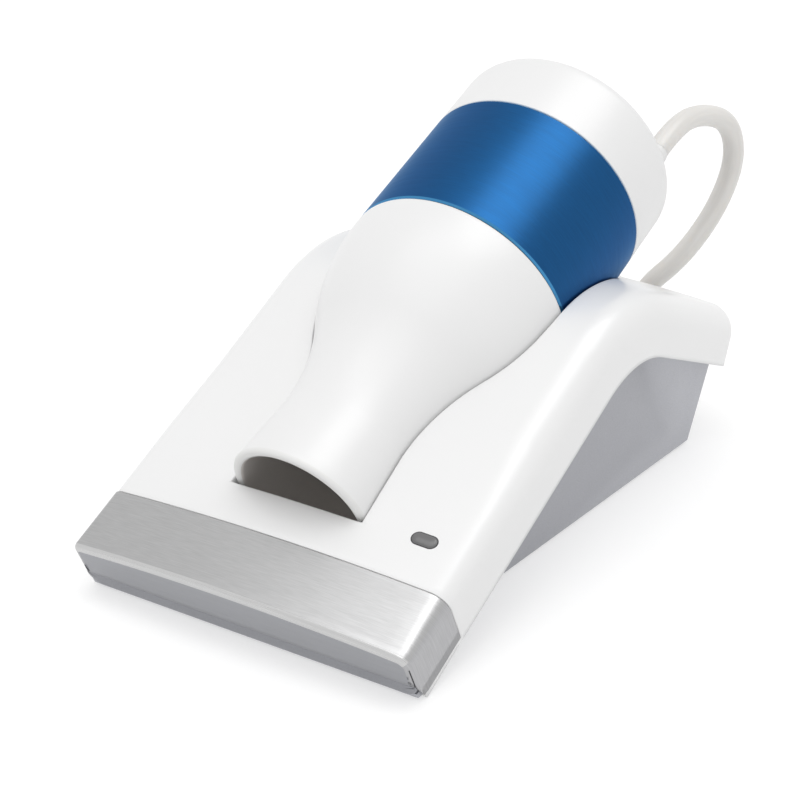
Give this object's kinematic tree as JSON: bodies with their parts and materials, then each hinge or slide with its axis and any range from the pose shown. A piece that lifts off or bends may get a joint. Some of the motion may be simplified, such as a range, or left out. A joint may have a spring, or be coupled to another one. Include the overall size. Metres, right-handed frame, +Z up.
{
  "type": "spirometer",
  "caption": "Desktop spirometer: round breathing flowhead with a mouth cone, lying in the pocket of a sloped cradle and joined to it by a hose.",
  "frame": {"origin": "on the table, in the middle of the cradle's footprint", "axes": "+X to the right seen from the mouth's side, +Y from the mouth to the rear, +Z up"},
  "size_m": [0.1269, 0.2414, 0.101],
  "materials": {
    "white_shell": "gloss",
    "brushed_plate": "brushed",
    "grey_tray": "satin",
    "grey_window": "satin",
    "lamp": "gloss",
    "board_green": "satin",
    "screw_steel": "satin",
    "dark_plastic": "matte",
    "hose_rubber": "satin",
    "port_plastic": "satin",
    "socket_steel": "satin",
    "ballast_steel": "rolled",
    "foot_rubber": "matte",
    "white_head": "satin",
    "seal_rubber": "matte",
    "blue_anodised": "brushed",
    "ring_aluminium": "turned",
    "core_steel": "satin",
    "tie_plastic": "matte"
  },
  "bodies": {
    "cradle": {"top_shell": "white_shell", "front_plate": "brushed_plate", "base_tray": "grey_tray", "status_window": "grey_window", "status_lamp": "lamp", "light_board": "board_green", "circuit_board": "board_green", "board_screws": "screw_steel", "pressure_sensor": "dark_plastic", "inner_tube": "hose_rubber", "hose_port": "port_plastic", "data_socket": "socket_steel", "ballast_plate": "ballast_steel", "rubber_feet": "foot_rubber", "shell_screws": "screw_steel", "upper_hose": "hose_rubber", "lower_hose": "hose_rubber", "hose_coil": "hose_rubber", "hose_tie": "tie_plastic"},
    "flowhead": {"blue_sleeve": "blue_anodised", "front_tap_ring": "ring_aluminium", "capillary_core": "core_steel", "rear_tap_ring": "ring_aluminium", "rear_seal": "seal_rubber", "rear_cap": "white_head", "hose_fitting": "port_plastic", "pressure_duct": "hose_rubber"},
    "mouth": {"mouth_cone": "white_head", "front_seal": "seal_rubber"}
  },
  "joints": [
    {"name": "flowhead_lift", "type": "slide", "parent": "cradle", "child": "flowhead", "axis": [0, -0.3697, 0.9291], "range_m": [0, 0.065], "deforming": ["upper_hose"]},
    {"name": "cone_twist", "type": "hinge", "parent": "flowhead", "child": "mouth", "pos_m": [0, 0.0114, 0.0523], "axis": [0, 0.9291, 0.3697], "range_deg": [0, 30]}
  ]
}
